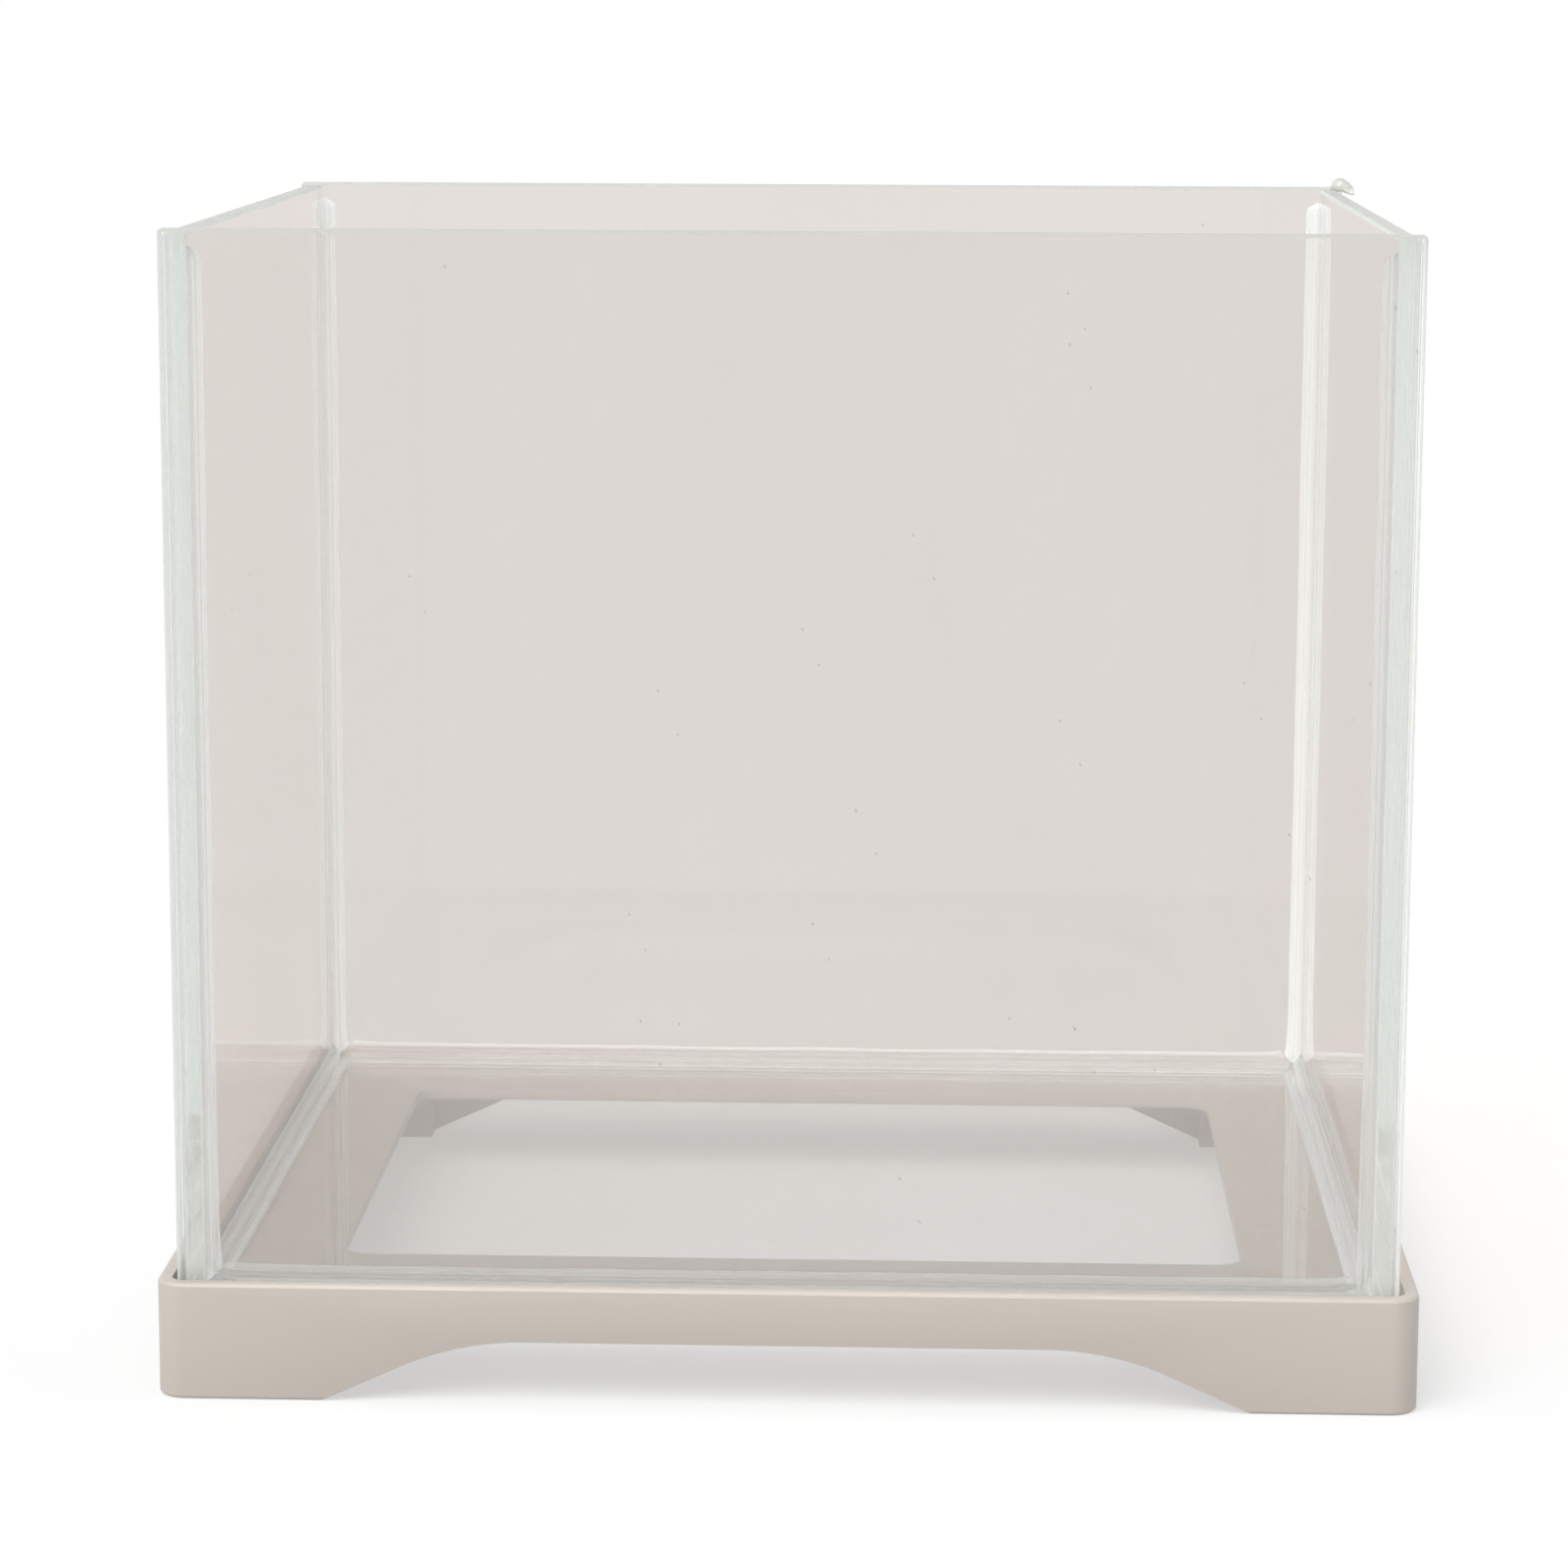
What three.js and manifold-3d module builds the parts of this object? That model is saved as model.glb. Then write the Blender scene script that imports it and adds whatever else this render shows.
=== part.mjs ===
// A small open-topped glass tank that stands loose in a moulded plastic base.
// Five flat panes are bonded edge to face with a thin film of clear silicone, and a bead of the
// same silicone seals every inside corner. The base holds the tank in a shallow seat, has a
// window under the bottom pane, and stands on four corner feet with an arch between each pair.
//
// Frame: millimetres, +X to the right, +Y to the rear, +Z up. The origin is on the ground, at the
// centre of the base.

import * as THREE from 'three';
import { mergeVertices } from 'three/addons/utils/BufferGeometryUtils.js';
import Module from 'manifold-3d';

// ---- driving dimensions, tank ----
const tankWidth = 210;
const tankDepth = 175.5;
const wallHeight = 185; // front and rear panes
const glass = 3.5;
const arris = 0.4; // ground-off edge of every pane
const bondGap = 0.5; // film of silicone between an edge and the face that it meets
const sideInset = 1.1; // side panes stand in from the ends of the front and rear panes
const sideDrop = 0.5; // and end a little below their tops

// ---- driving dimensions, silicone beads ----
const wallBeadLeg = 2.5;
const floorBeadLeg = 3.5;
const beadHollow = 0.3; // control point of the tooled face; 0.5 would be a flat face
const beadTopDrop = 3; // an upright bead ends this far below the top of the wall
const runOutLength = 4.9; // silicone squeezed out on top of the rear right corner
const runOutDepth = 3.6;
const runOutHeight = 2;
const runOutOverhang = 2.5; // past the end of the rear pane

// ---- driving dimensions, base ----
const baseHeight = 20.5;
const seatDepth = 5;
const seatClearance = 1;
const rimWall = 2.5;
const ledgeThickness = 2;
const baseCornerRadius = 5;
const edgeChamfer = 0.5;
const footLengthX = 28.5; // along the front and the rear
const footLengthY = 30.25; // along the sides
const windowCornerRadius = 5;
const apronHeight = 9.6; // skirt left above an arch, up to the rim
const archRadius = 52;
const rampAngle = THREE.MathUtils.degToRad(24.5);
const footPocket = 4.5; // hollow between the skirt and a foot's inner wall
const footWall = 2;

// ---- sizes that follow ----
const baseWidth = tankWidth + 2 * (seatClearance + rimWall);
const baseDepth = tankDepth + 2 * (seatClearance + rimWall);
const ledgeTop = baseHeight - seatDepth;
const ledgeUnderside = ledgeTop - ledgeThickness;
const floorTop = ledgeTop + glass;
const wallTop = ledgeTop + wallHeight;
const sideTop = wallTop - sideDrop;
const innerHalfDepth = tankDepth / 2 - glass; // inner faces of the front and rear panes
const innerHalfWidth = tankWidth / 2 - sideInset - glass; // inner faces of the side panes
const sideHalfLength = innerHalfDepth - bondGap;
const floorHalfWidth = innerHalfWidth - bondGap;
const archEndX = baseWidth / 2 - footLengthX;
const archEndY = baseDepth / 2 - footLengthY;
const arcSteps = 6;
const cutPast = 1; // a cutter reaches this far out of what it cuts

const materials = {
  glass: { color: 0xe6f0ea, roughness: 0.03, metalness: 0 },
  silicone: { color: 0xe9eeec, roughness: 0.3, metalness: 0 },
  plastic: { color: 0xc8bfb8, roughness: 0.42, metalness: 0 },
};

const wasm = await Module();
wasm.setup();

const part = new THREE.Group();

const xAxis = new THREE.Vector3(1, 0, 0);
const yAxis = new THREE.Vector3(0, 1, 0);
const zAxis = new THREE.Vector3(0, 0, 1);

function addPiece(name, geometry, kind, group = part) {
  const mesh = new THREE.Mesh(geometry, new THREE.MeshStandardMaterial(materials[kind]));
  mesh.name = name;
  group.add(mesh);
  return mesh;
}

// ---- booleans ----

function toSolid(geometry) {
  const bare = geometry.clone();
  bare.deleteAttribute('normal');
  bare.deleteAttribute('uv');
  const merged = mergeVertices(bare);
  const vertProperties = new Float32Array(merged.attributes.position.array);
  const triVerts = new Uint32Array(merged.index.array);
  return new wasm.Manifold(new wasm.Mesh({ numProp: 3, vertProperties, triVerts }));
}

function toGeometry(solid) {
  const mesh = solid.getMesh();
  const geometry = new THREE.BufferGeometry();
  geometry.setAttribute('position', new THREE.BufferAttribute(mesh.vertProperties, 3));
  geometry.setIndex(new THREE.BufferAttribute(mesh.triVerts, 1));
  const flat = geometry.toNonIndexed();
  flat.computeVertexNormals();
  return flat;
}

// ---- plain shapes ----

function boxBetween(x0, x1, y0, y1, z0, z1) {
  const box = new THREE.BoxGeometry(x1 - x0, y1 - y0, z1 - z0);
  box.translate((x0 + x1) / 2, (y0 + y1) / 2, (z0 + z1) / 2);
  return box;
}

function roundedRectangle(width, depth, radius) {
  const x = width / 2;
  const y = depth / 2;
  const shape = new THREE.Shape();
  shape.moveTo(x, radius - y);
  shape.absarc(x - radius, y - radius, radius, 0, Math.PI / 2);
  shape.absarc(radius - x, y - radius, radius, Math.PI / 2, Math.PI);
  shape.absarc(radius - x, radius - y, radius, Math.PI, 1.5 * Math.PI);
  shape.absarc(x - radius, radius - y, radius, 1.5 * Math.PI, 2 * Math.PI);
  return shape;
}

function upright(shape, z0, z1) {
  const options = { depth: z1 - z0, bevelEnabled: false, curveSegments: arcSteps };
  return new THREE.ExtrudeGeometry(shape, options).translate(0, 0, z0);
}

// ---- glass ----

// One pane, centred on the origin, with its long edges and its corners ground off. Its length
// lies along the first axis, its height along the second and its thickness along the third.
function paneGeometry(length, height, along, up, through) {
  const x = length / 2;
  const y = height / 2;
  const shape = new THREE.Shape();
  shape.moveTo(x, arris - y);
  shape.lineTo(x, y - arris);
  shape.lineTo(x - arris, y);
  shape.lineTo(arris - x, y);
  shape.lineTo(-x, y - arris);
  shape.lineTo(-x, arris - y);
  shape.lineTo(arris - x, -y);
  shape.lineTo(x - arris, -y);
  const options = {
    depth: glass - 2 * arris,
    bevelThickness: arris,
    bevelSize: arris,
    bevelOffset: -arris,
    bevelSegments: 1,
  };
  const pane = new THREE.ExtrudeGeometry(shape, options);
  pane.translate(0, 0, arris - glass / 2);
  pane.applyMatrix4(new THREE.Matrix4().makeBasis(along, up, through));
  return pane;
}

function buildGlass(tank) {
  const towardFront = yAxis.clone().negate();
  const faces = [['front_pane', -1], ['rear_pane', 1]];
  for (const [name, side] of faces) {
    const pane = addPiece(name, paneGeometry(tankWidth, wallHeight, xAxis, zAxis, towardFront), 'glass', tank);
    pane.position.set(0, side * (innerHalfDepth + glass / 2), ledgeTop + wallHeight / 2);
  }
  const sides = [['left_pane', -1], ['right_pane', 1]];
  const sideHeight = sideTop - ledgeTop;
  for (const [name, side] of sides) {
    const pane = addPiece(name, paneGeometry(2 * sideHalfLength, sideHeight, yAxis, zAxis, xAxis), 'glass', tank);
    pane.position.set(side * (innerHalfWidth + glass / 2), 0, ledgeTop + sideHeight / 2);
  }
  const floor = paneGeometry(2 * floorHalfWidth, 2 * sideHalfLength, xAxis, yAxis, zAxis);
  addPiece('bottom_pane', floor, 'glass', tank).position.set(0, 0, ledgeTop + glass / 2);
}

// ---- silicone ----

// Film between two panes. The upright films lie between the side panes' ends and the front and
// rear panes, and the floor films lie all round the edge of the bottom pane.
function buildBonds(tank) {
  const outerHalfWidth = innerHalfWidth + glass;
  for (const [yName, ySide] of [['front', -1], ['rear', 1]]) {
    const y0 = Math.min(ySide * sideHalfLength, ySide * innerHalfDepth);
    const y1 = y0 + bondGap;
    for (const [xName, xSide] of [['left', -1], ['right', 1]]) {
      const x0 = Math.min(xSide * innerHalfWidth, xSide * outerHalfWidth);
      const film = boxBetween(x0, x0 + glass, y0, y1, ledgeTop, sideTop);
      const hasRunOut = yName === 'rear' && xName === 'right';
      addPiece(`bond_${yName}_${xName}`, hasRunOut ? withRunOut(film, x0, y0) : film, 'silicone', tank);
    }
    const edge = boxBetween(-innerHalfWidth, innerHalfWidth, y0, y1, ledgeTop, floorTop);
    addPiece(`bond_floor_${yName}`, edge, 'silicone', tank);
  }
  for (const [name, side] of [['left', -1], ['right', 1]]) {
    const x0 = Math.min(side * floorHalfWidth, side * innerHalfWidth);
    const edge = boxBetween(x0, x0 + bondGap, -sideHalfLength, sideHalfLength, ledgeTop, floorTop);
    addPiece(`bond_floor_${name}`, edge, 'silicone', tank);
  }
}

// The film at the rear right corner was overfilled, and stands out of the top of the seam as a
// low dome that lies on the rear pane's top edge.
function withRunOut(film, x0, y0) {
  const dome = new THREE.SphereGeometry(1, 20, 12);
  dome.rotateX(Math.PI / 2);
  dome.scale(runOutLength / 2, runOutDepth / 2, runOutHeight);
  const centreX = tankWidth / 2 + runOutOverhang - runOutLength / 2;
  dome.translate(centreX, y0 + bondGap, wallTop);
  const reach = runOutLength + runOutDepth;
  const above = boxBetween(centreX - reach, centreX + reach, y0 - reach, y0 + reach, wallTop, wallTop + reach);
  const neck = boxBetween(x0, x0 + glass, y0, y0 + bondGap, sideTop - cutPast, wallTop + runOutHeight / 4);
  const cap = toSolid(dome).intersect(toSolid(above));
  return toGeometry(toSolid(film).add(toSolid(neck)).add(cap));
}

// A bead fills the inside corner where two faces meet. It is centred on the point given, its two
// legs lie along u and v, and it runs along their cross product.
function beadGeometry(leg, length, u, v, x, y, z) {
  const shape = new THREE.Shape();
  shape.moveTo(0, 0);
  shape.lineTo(leg, 0);
  shape.quadraticCurveTo(beadHollow * leg, beadHollow * leg, 0, leg);
  const bead = new THREE.ExtrudeGeometry(shape, { depth: length, bevelEnabled: false, curveSegments: arcSteps });
  bead.translate(0, 0, -length / 2);
  bead.applyMatrix4(new THREE.Matrix4().makeBasis(u, v, new THREE.Vector3().crossVectors(u, v)));
  bead.translate(x, y, z);
  return bead;
}

function buildBeads(tank) {
  const z0 = floorTop + floorBeadLeg;
  const z1 = wallTop - beadTopDrop;
  for (const [yName, ySide] of [['front', -1], ['rear', 1]]) {
    const inward = yAxis.clone().multiplyScalar(-ySide);
    const y = ySide * innerHalfDepth;
    for (const [xName, xSide] of [['left', -1], ['right', 1]]) {
      const across = xAxis.clone().multiplyScalar(-xSide);
      const x = xSide * innerHalfWidth;
      const bead = beadGeometry(wallBeadLeg, z1 - z0, across, inward, x, y, (z0 + z1) / 2);
      addPiece(`bead_${yName}_${xName}`, bead, 'silicone', tank);
    }
    const run = beadGeometry(floorBeadLeg, 2 * innerHalfWidth, inward, zAxis, 0, y, floorTop);
    addPiece(`bead_floor_${yName}`, run, 'silicone', tank);
  }
  const between = 2 * (innerHalfDepth - floorBeadLeg);
  for (const [name, side] of [['left', -1], ['right', 1]]) {
    const across = xAxis.clone().multiplyScalar(-side);
    const run = beadGeometry(floorBeadLeg, between, across, zAxis, side * innerHalfWidth, 0, floorTop);
    addPiece(`bead_floor_${name}`, run, 'silicone', tank);
  }
}

// ---- base ----

// Outline of the opening under one side of the skirt: a flat top, an arc at each end of it, and
// straight ramps down to the feet.
function archShape(halfSpan) {
  const rise = baseHeight - apronHeight;
  const arcDrop = archRadius * (1 - Math.cos(rampAngle));
  const rampRun = (rise - arcDrop) / Math.tan(rampAngle);
  const flatHalf = halfSpan - rampRun - archRadius * Math.sin(rampAngle);
  const shape = new THREE.Shape();
  shape.moveTo(-halfSpan, -cutPast);
  shape.lineTo(halfSpan, -cutPast);
  shape.lineTo(halfSpan, 0);
  shape.absarc(flatHalf, rise - archRadius, archRadius, Math.PI / 2 - rampAngle, Math.PI / 2);
  shape.absarc(-flatHalf, rise - archRadius, archRadius, Math.PI / 2, Math.PI / 2 + rampAngle);
  shape.lineTo(-halfSpan, 0);
  return shape;
}

function archCutter(halfSpan, length, along, through) {
  const options = { depth: length, bevelEnabled: false, curveSegments: 2 * arcSteps };
  const cutter = new THREE.ExtrudeGeometry(archShape(halfSpan), options);
  cutter.translate(0, 0, -length / 2);
  cutter.applyMatrix4(new THREE.Matrix4().makeBasis(along, zAxis, through));
  return cutter;
}

// Block with the outline of the base, set in from its outer face by a distance.
function baseOutline(inset) {
  const radius = Math.max(baseCornerRadius - inset, edgeChamfer);
  return roundedRectangle(baseWidth - 2 * inset, baseDepth - 2 * inset, radius);
}

function buildBase() {
  const blockOptions = {
    depth: baseHeight - 2 * edgeChamfer,
    bevelThickness: edgeChamfer,
    bevelSize: edgeChamfer,
    bevelOffset: -edgeChamfer,
    bevelSegments: 1,
    curveSegments: arcSteps,
  };
  const block = new THREE.ExtrudeGeometry(baseOutline(0), blockOptions).translate(0, 0, edgeChamfer);
  const seat = upright(baseOutline(rimWall), ledgeTop, baseHeight + cutPast);
  const window = roundedRectangle(2 * archEndX, 2 * archEndY, windowCornerRadius);
  const opening = upright(window, 0, baseHeight);

  // Under the ledge the skirt stands alone between the feet. A foot has an inner wall and two end
  // walls as well, with a pocket between them that opens downward.
  const footDepth = rimWall + footPocket + footWall;
  const innerX = baseWidth / 2 - rimWall;
  const innerY = baseDepth / 2 - rimWall;
  const middle = upright(baseOutline(footDepth), -cutPast, ledgeUnderside);
  const alongX = boxBetween(-archEndX, archEndX, -innerY, innerY, -cutPast, ledgeUnderside);
  const alongY = boxBetween(-innerX, innerX, -archEndY, archEndY, -cutPast, ledgeUnderside);
  const endX = archEndX + footWall;
  const endY = archEndY + footWall;
  const farX = baseWidth;
  const farY = baseDepth;
  const pockets = toSolid(upright(baseOutline(rimWall), -cutPast, ledgeUnderside))
    .subtract(toSolid(upright(baseOutline(rimWall + footPocket), -2 * cutPast, baseHeight)))
    .subtract(toSolid(boxBetween(-endX, endX, -farY, farY, -2 * cutPast, baseHeight)))
    .subtract(toSolid(boxBetween(-farX, farX, -endY, endY, -2 * cutPast, baseHeight)));

  let base = toSolid(block).subtract(pockets);
  for (const cutter of [
    seat,
    opening,
    middle,
    alongX,
    alongY,
    archCutter(archEndX, baseDepth + 2 * cutPast, xAxis, yAxis.clone().negate()),
    archCutter(archEndY, baseWidth + 2 * cutPast, yAxis, xAxis),
  ]) {
    base = base.subtract(toSolid(cutter));
  }
  addPiece('base_frame', toGeometry(base), 'plastic');
}

buildBase();
const tank = new THREE.Group();
buildGlass(tank);
buildBonds(tank);
buildBeads(tank);
part.add(tank);

export default part;
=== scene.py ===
"""Small glass tank on a moulded plastic base: panes, silicone seams, base and studio.

Laid out as an add-on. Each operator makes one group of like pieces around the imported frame.
"""

import math

import bmesh
import bpy
from bpy.props import FloatProperty, FloatVectorProperty, IntProperty, PointerProperty
from bpy.types import Operator, Panel, PropertyGroup
from mathutils import Euler, Matrix, Vector, noise


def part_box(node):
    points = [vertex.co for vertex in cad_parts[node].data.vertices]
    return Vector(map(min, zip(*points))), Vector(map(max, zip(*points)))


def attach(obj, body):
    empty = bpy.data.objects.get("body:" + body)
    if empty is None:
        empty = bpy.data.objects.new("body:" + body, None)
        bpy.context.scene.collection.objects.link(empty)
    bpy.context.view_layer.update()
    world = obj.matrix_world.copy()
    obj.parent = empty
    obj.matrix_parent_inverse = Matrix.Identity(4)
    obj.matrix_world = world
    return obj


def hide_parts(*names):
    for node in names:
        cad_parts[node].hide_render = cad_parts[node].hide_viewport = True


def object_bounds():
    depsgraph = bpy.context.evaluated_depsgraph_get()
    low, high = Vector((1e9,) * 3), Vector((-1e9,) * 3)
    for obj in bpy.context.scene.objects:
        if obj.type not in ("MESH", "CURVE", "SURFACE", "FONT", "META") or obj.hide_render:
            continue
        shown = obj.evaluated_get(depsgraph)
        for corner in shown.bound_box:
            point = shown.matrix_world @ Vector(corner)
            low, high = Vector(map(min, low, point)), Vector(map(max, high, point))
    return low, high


bl_info = {
    "name": "Glass tank on a plastic base",
    "version": (1, 0, 0),
    "blender": (4, 5, 0),
    "location": "3D View > Sidebar > Tank",
    "description": "Panes, silicone seams, moulded base and studio for a small glass tank",
    "category": "Object",
}

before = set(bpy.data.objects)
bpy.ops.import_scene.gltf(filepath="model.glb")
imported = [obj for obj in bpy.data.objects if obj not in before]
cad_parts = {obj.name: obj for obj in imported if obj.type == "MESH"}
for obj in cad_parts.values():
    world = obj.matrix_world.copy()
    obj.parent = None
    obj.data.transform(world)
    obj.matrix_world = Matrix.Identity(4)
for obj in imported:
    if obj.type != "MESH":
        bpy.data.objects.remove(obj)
CAD_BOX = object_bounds()

MM = 0.001
TOUCH = 1e-6  # two points closer than this are one

PANES = ("front_pane", "rear_pane", "left_pane", "right_pane", "bottom_pane")
SIDES = ("left", "right")
ENDS = ("front", "rear")

# a pane's finishes, in the order of its materials
POLISHED, GROUND, WETTED, FROSTED = range(4)
# the axes across which sealant wets a pane's edges
WETTED_AXES = {"left_pane": (1,), "right_pane": (1,), "bottom_pane": (0, 1)}

# a film's finishes, in the order of its materials: its body is the first, its run-out the second
RUN_OUT = 1

ROW_HEIGHT = 4 * MM  # of the rows of faces that a film is cut into
SEALANT_SMOOTH = math.radians(50)  # the sealant's edges are sharp above this angle


# ---- helpers ----


def linear(hex_colour, alpha=1.0):
    """A colour given as #rrggbb in sRGB, as the linear values that shaders take."""
    values = [int(hex_colour[i : i + 2], 16) / 255 for i in (1, 3, 5)]
    return (*[v / 12.92 if v <= 0.04045 else ((v + 0.055) / 1.055) ** 2.4 for v in values], alpha)


def add_node(tree, kind, inputs=None, **settings):
    """Add a node. inputs gives a value or a socket for each named input."""
    made = tree.nodes.new(kind)
    for name, value in settings.items():
        setattr(made, name, value)
    for name, value in (inputs or {}).items():
        if isinstance(value, bpy.types.NodeSocket):
            tree.links.new(value, made.inputs[name])
        else:
            made.inputs[name].default_value = value
    return made


def new_material(name):
    """An empty node material and its output node."""
    material = bpy.data.materials.new(name)
    material.use_nodes = True
    material.node_tree.nodes.clear()
    return material, material.node_tree, add_node(material.node_tree, "ShaderNodeOutputMaterial")


def finished(bm, name, materials, smooth_under=0.0):
    """Close up a bmesh, make it an object and give it its materials."""
    bmesh.ops.remove_doubles(bm, verts=bm.verts, dist=TOUCH)
    bmesh.ops.recalc_face_normals(bm, faces=bm.faces)
    mesh = bpy.data.meshes.new(name)
    bm.to_mesh(mesh)
    bm.free()
    for material in materials:
        mesh.materials.append(material)
    if smooth_under:
        mesh.shade_smooth()
        mesh.set_sharp_from_angle(angle=smooth_under)
    piece = bpy.data.objects.new(name, mesh)
    bpy.context.scene.collection.objects.link(piece)
    return piece


def place_piece(piece, body, slot, *nodes):
    """Hang a piece on the body that it rides on, and hide the CAD nodes that it stands for. slot, its
    finish, is not used.
    """
    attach(piece, body)
    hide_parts(*nodes)


def ripple(position, seed, wavelength):
    """Smooth noise between -1 and 1 that repeats the same way each run. Each seed has a line of
    its own through the noise."""
    return noise.noise(Vector((position / wavelength, seed * 7.31, seed * 1.77)))


def axis_vector(axis, length=1.0):
    """A vector of the given length along one axis."""
    vector = Vector((0.0, 0.0, 0.0))
    vector[axis] = length
    return vector


def cut_along(bm, axis, low, high, step):
    """Cut a mesh across one axis at even steps."""
    count = max(1, round((high - low) / step))
    for i in range(1, count):
        place = low + (high - low) * i / count
        whole = bm.verts[:] + bm.edges[:] + bm.faces[:]
        bmesh.ops.bisect_plane(
            bm, geom=whole, dist=TOUCH, plane_co=axis_vector(axis, place), plane_no=axis_vector(axis)
        )


def join_flat_faces(bm, angle):
    """Join neighbouring faces that turn less than an angle from each other."""
    bmesh.ops.dissolve_limit(
        bm, angle_limit=angle, verts=bm.verts, edges=bm.edges, use_dissolve_boundaries=False
    )


def add_part(bm, part):
    """Add one bmesh to another and free it."""
    mesh = bpy.data.meshes.new("part")
    part.to_mesh(mesh)
    part.free()
    bm.from_mesh(mesh)
    bpy.data.meshes.remove(mesh)


def block_between(bm, low, high):
    """A box between two corners. Returns its vertices."""
    made = bmesh.ops.create_cube(bm, size=1.0)["verts"]
    bmesh.ops.scale(bm, vec=Vector(high) - Vector(low), verts=made)
    bmesh.ops.translate(bm, vec=(Vector(high) + Vector(low)) / 2, verts=made)
    return made


# ---- settings ----


class GlassSettings(PropertyGroup):
    """Edges and tints of the panes."""

    arris: FloatProperty(
        name="Arris", description="Width of the ground edge", default=0.45 * MM, unit="LENGTH"
    )
    nibble: FloatProperty(
        name="Nibble", description="How far the hand-ground edge wanders", default=0.16 * MM,
        unit="LENGTH",
    )
    edge_step: FloatProperty(
        name="Edge step", description="Spacing of the points along an edge", default=2.5 * MM,
        unit="LENGTH",
    )
    stand_off: FloatProperty(
        name="Stand-off", description="Air left under the glass where it rests on the base",
        default=0.03 * MM, unit="LENGTH",
    )
    front_tint: FloatVectorProperty(
        name="Front tint", description="What the front pane lets through", subtype="COLOR",
        default=linear("#f3f2f1")[:3],
    )
    side_tint: FloatVectorProperty(
        name="Side tint", description="What the side panes let through", subtype="COLOR",
        default=linear("#ece5e1")[:3],
    )
    # the bottom pane's tint is darker than the other panes': it is partly the glass's own tint and
    # partly painted shade on the floor and the ledge seen through it
    bottom_tint_and_shade: FloatVectorProperty(
        name="Bottom tint", description="What the bottom pane lets through", subtype="COLOR",
        default=linear("#e2e2e1")[:3],
    )
    rear_tint: FloatVectorProperty(
        name="Rear tint", description="What the rear pane lets through", subtype="COLOR",
        default=linear("#e4dfdb")[:3],
    )
    edge_tint: FloatVectorProperty(
        name="Edge tint", description="Colour of a long way through the glass", subtype="COLOR",
        default=linear("#f4fefa")[:3],
    )


class SiliconeSettings(PropertyGroup):
    """Shape and colours of the sealant."""

    stand_off: FloatProperty(
        name="Stand-off", description="Gap left between the sealant and the glass", default=0.02 * MM,
        unit="LENGTH",
    )
    ring_step: FloatProperty(
        name="Ring step", description="Spacing of the rings along a bead", default=1.2 * MM,
        unit="LENGTH",
    )
    waviness: FloatProperty(
        name="Waviness", description="How much a bead's width wanders", default=0.07,
        subtype="FACTOR",
    )
    flare: FloatProperty(
        name="Flare", description="How much a bead swells at a corner", default=0.55, subtype="FACTOR"
    )
    squeeze_out: FloatProperty(
        name="Squeeze-out",
        description="Leg of the sealant squeezed out behind the front and rear panes",
        default=0.95 * MM, unit="LENGTH",
    )
    run_out_length: FloatProperty(
        name="Run-out length", description="Length of the lump on the rear right corner",
        default=4.9 * MM, unit="LENGTH",
    )
    clear_colour: FloatVectorProperty(
        name="Clear colour", description="Tint of the clear part of the sealant", subtype="COLOR",
        default=linear("#fdfefe")[:3],
    )
    lump_colour: FloatVectorProperty(
        name="Lump colour", description="Colour of the sealant that stands in the open", subtype="COLOR",
        default=linear("#d3d2ce")[:3],
    )
    milky_colour: FloatVectorProperty(
        name="Milky colour", description="Colour of the cloudy part of the sealant", subtype="COLOR",
        default=linear("#fbfdfc")[:3],
    )


class BaseSettings(PropertyGroup):
    """Edges and colour of the moulding."""

    edge_radius: FloatProperty(
        name="Edge radius", description="Rounding of the moulding's edges", default=0.3 * MM,
        unit="LENGTH",
    )
    edge_segments: IntProperty(
        name="Edge segments", description="Steps in each rounded edge", default=2
    )
    colour: FloatVectorProperty(
        name="Colour", description="Colour of the plastic", subtype="COLOR",
        default=linear("#ada59d")[:3],
    )


class StageSettings(PropertyGroup):
    """Camera, floor and light of the studio."""

    camera_place: FloatVectorProperty(
        name="Camera place", description="Where the camera stands", unit="LENGTH",
        default=(0.02685, -0.8524, 0.24255),
    )
    camera_turn: FloatVectorProperty(
        name="Camera turn", description="Pitch, roll and yaw of the camera", subtype="EULER",
        default=(math.radians(-9.967), math.radians(-0.206), math.radians(2.053)),
    )
    lens: FloatProperty(name="Lens", description="Focal length in millimetres", default=105.93)
    floor_radius: FloatProperty(
        name="Floor radius", description="Radius of the opal floor", default=40.0, unit="LENGTH"
    )
    key_strength: FloatProperty(
        name="Key strength", description="Strength of the key light", default=3.08
    )
    key_tilt: FloatProperty(
        name="Key tilt", description="How far the key light leans from straight overhead",
        default=math.radians(38), subtype="ANGLE",
    )
    key_turn: FloatProperty(
        name="Key turn", description="How far the key light is turned about the vertical",
        default=math.radians(-30), subtype="ANGLE",
    )
    key_spread: FloatProperty(
        name="Key spread", description="Angle that the key light fills, which softens its shadows",
        default=math.radians(50), subtype="ANGLE",
    )
    room_light: FloatProperty(name="Room light", description="Even light from all round", default=0.7)
    backdrop_light: FloatProperty(
        name="Backdrop light", description="How bright the room looks", default=1.0
    )
    table_glow: FloatProperty(
        name="Table glow", description="Light that comes up through the floor", default=0.52
    )


# ---- materials ----


def lamps_pass(tree, seen, passed):
    """Let lamps shine through a clear surface, which would otherwise throw a solid shadow. passed is
    the share of each colour that gets through it."""
    path = add_node(tree, "ShaderNodeLightPath")
    lit = add_node(tree, "ShaderNodeBsdfTransparent", {"Color": (*passed, 1.0)})
    return add_node(
        tree,
        "ShaderNodeMixShader",
        {"Fac": path.outputs["Is Shadow Ray"], 1: seen.outputs[0], 2: lit.outputs[0]},
    )


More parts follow.
